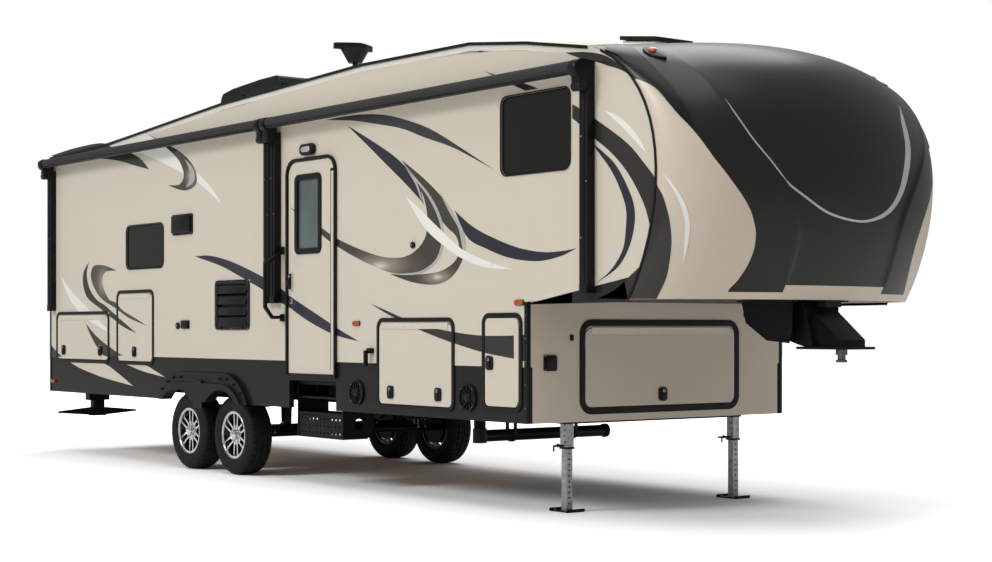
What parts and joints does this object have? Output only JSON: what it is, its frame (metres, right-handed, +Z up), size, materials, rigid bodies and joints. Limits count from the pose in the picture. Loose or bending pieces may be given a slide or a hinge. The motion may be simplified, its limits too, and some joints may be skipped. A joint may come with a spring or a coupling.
{
  "type": "fifth wheel trailer",
  "caption": "Tall fifth wheel travel trailer with a raised rounded nose, entry door, storage doors, slide-out room, awnings, tandem wheels and landing legs.",
  "frame": {"origin": "centre of the bounding box, at the ground under the parked trailer", "axes": "+X forward to the nose, +Z up, -Y the entry door side"},
  "size_m": [9.8, 2.679, 3.7838],
  "materials": {
    "cream_wall": "gloss laminated wall",
    "dark_skirt": "gloss dark skirt",
    "white_roof": "roof membrane",
    "tan_cap": "moulded gloss cap",
    "tan_front": "gloss tan panel",
    "black_steel": "satin black paint",
    "black_plastic": "matte black",
    "floor_wood": "plywood floor",
    "inner_panel": "laminated panel",
    "smoked_glass": "smoked",
    "door_glass": "frosted grey-green",
    "black_vent": "moulded black",
    "tyre_rubber": "rubber",
    "polished_wheel": "polished",
    "kingpin_steel": "machined",
    "amber_lens": "amber lens",
    "red_lens": "red lens",
    "clear_lens": "frosted lens",
    "white_plastic": "moulded white"
  },
  "bodies": {
    "coach": {"door_side_wall": "cream_wall", "off_side_wall": "cream_wall", "door_side_skirt": "dark_skirt", "off_side_skirt": "dark_skirt", "rear_wall": "cream_wall", "roof": "white_roof", "front_cap": "tan_cap", "nose_underside": "black_plastic", "floors": "floor_wood", "hold_floor": "black_plastic", "inner_panels": "inner_panel", "lower_front_wall": "tan_front", "chassis": "black_steel", "outriggers": "black_steel", "slide_runners": "black_steel", "hold_frame": "black_steel", "nose_frame": "black_steel", "windows": "smoked_glass", "window_frames": "black_plastic", "door_frames": "black_plastic", "edge_trims": "black_plastic", "wall_fittings": "black_plastic", "roof_fittings": "white_plastic", "appliance_vents": "black_vent", "grab_handle": "black_steel", "entry_steps": "black_steel", "awnings": "black_steel", "fenders": "black_plastic", "air_conditioner": "black_plastic", "antenna": "black_plastic", "pin_box": "black_steel", "kingpin": "kingpin_steel", "landing_legs": "black_steel", "stabilisers": "black_steel", "bumper": "black_steel", "axles": "black_steel", "sewer_tube": "black_plastic", "porch_light": "clear_lens", "marker_lights": "amber_lens", "tail_lights": "red_lens"},
    "entry_door": {"entry_door": "cream_wall", "entry_door_glass": "door_glass"},
    "rear_locker_door": {"rear_locker_door": "cream_wall"},
    "middle_locker_door": {"middle_locker_door": "cream_wall"},
    "hold_door": {"hold_door": "cream_wall"},
    "off_side_hold_door": {"off_side_hold_door": "cream_wall"},
    "gas_door": {"gas_door": "cream_wall"},
    "front_door": {"front_door": "tan_front"},
    "slide_room": {"slide_room": "cream_wall", "slide_window": "smoked_glass"},
    "vent_lid": {"vent_lid": "black_plastic"},
    "front_door_side_wheel": {"front_door_side_wheel": "polished_wheel", "front_door_side_tyre": "tyre_rubber"},
    "front_off_side_wheel": {"front_off_side_wheel": "polished_wheel", "front_off_side_tyre": "tyre_rubber"},
    "rear_door_side_wheel": {"rear_door_side_wheel": "polished_wheel", "rear_door_side_tyre": "tyre_rubber"},
    "rear_off_side_wheel": {"rear_off_side_wheel": "polished_wheel", "rear_off_side_tyre": "tyre_rubber"}
  },
  "joints": [
    {"name": "front_door_side_wheel_spin", "type": "hinge", "parent": "coach", "child": "front_door_side_wheel", "pos_m": [-1.09, -0.992, 0.34], "axis": [0, 1, 0], "continuous": true},
    {"name": "front_off_side_wheel_spin", "type": "hinge", "parent": "coach", "child": "front_off_side_wheel", "pos_m": [-1.09, 1.113, 0.34], "axis": [0, 1, 0], "continuous": true},
    {"name": "rear_door_side_wheel_spin", "type": "hinge", "parent": "coach", "child": "rear_door_side_wheel", "pos_m": [-1.902, -0.992, 0.34], "axis": [0, 1, 0], "continuous": true},
    {"name": "rear_off_side_wheel_spin", "type": "hinge", "parent": "coach", "child": "rear_off_side_wheel", "pos_m": [-1.902, 1.113, 0.34], "axis": [0, 1, 0], "continuous": true},
    {"name": "entry_door_hinge", "type": "hinge", "parent": "coach", "child": "entry_door", "pos_m": [0.65, -1.1648, 1.7], "axis": [0, 0, 1], "range_deg": [0, 95]},
    {"name": "rear_locker_hinge", "type": "hinge", "parent": "coach", "child": "rear_locker_door", "pos_m": [-4.002, -1.1648, 1.377], "axis": [-1, 0, 0], "range_deg": [0, 90]},
    {"name": "middle_locker_hinge", "type": "hinge", "parent": "coach", "child": "middle_locker_door", "pos_m": [-2.832, -1.1648, 1.57], "axis": [-1, 0, 0], "range_deg": [0, 90]},
    {"name": "hold_hinge", "type": "hinge", "parent": "coach", "child": "hold_door", "pos_m": [1.738, -1.1648, 1.29], "axis": [-1, 0, 0], "range_deg": [0, 90]},
    {"name": "off_side_hold_hinge", "type": "hinge", "parent": "coach", "child": "off_side_hold_door", "pos_m": [1.738, 1.2858, 1.29], "axis": [1, 0, 0], "range_deg": [0, 90]},
    {"name": "gas_hinge", "type": "hinge", "parent": "coach", "child": "gas_door", "pos_m": [2.96, -1.1648, 1.023], "axis": [0, 0, 1], "range_deg": [0, 95]},
    {"name": "front_door_hinge", "type": "hinge", "parent": "coach", "child": "front_door", "pos_m": [3.0563, 0.0605, 1.259], "axis": [0, -1, 0], "range_deg": [0, 90]},
    {"name": "vent_lid_hinge", "type": "hinge", "parent": "coach", "child": "vent_lid", "pos_m": [2.807, 0.0605, 3.301], "axis": [0, -1, 0], "range_deg": [0, 60]},
    {"name": "slide_room_slide", "type": "slide", "parent": "coach", "child": "slide_room", "axis": [0, 1, 0], "range_m": [0, 0.8]}
  ]
}
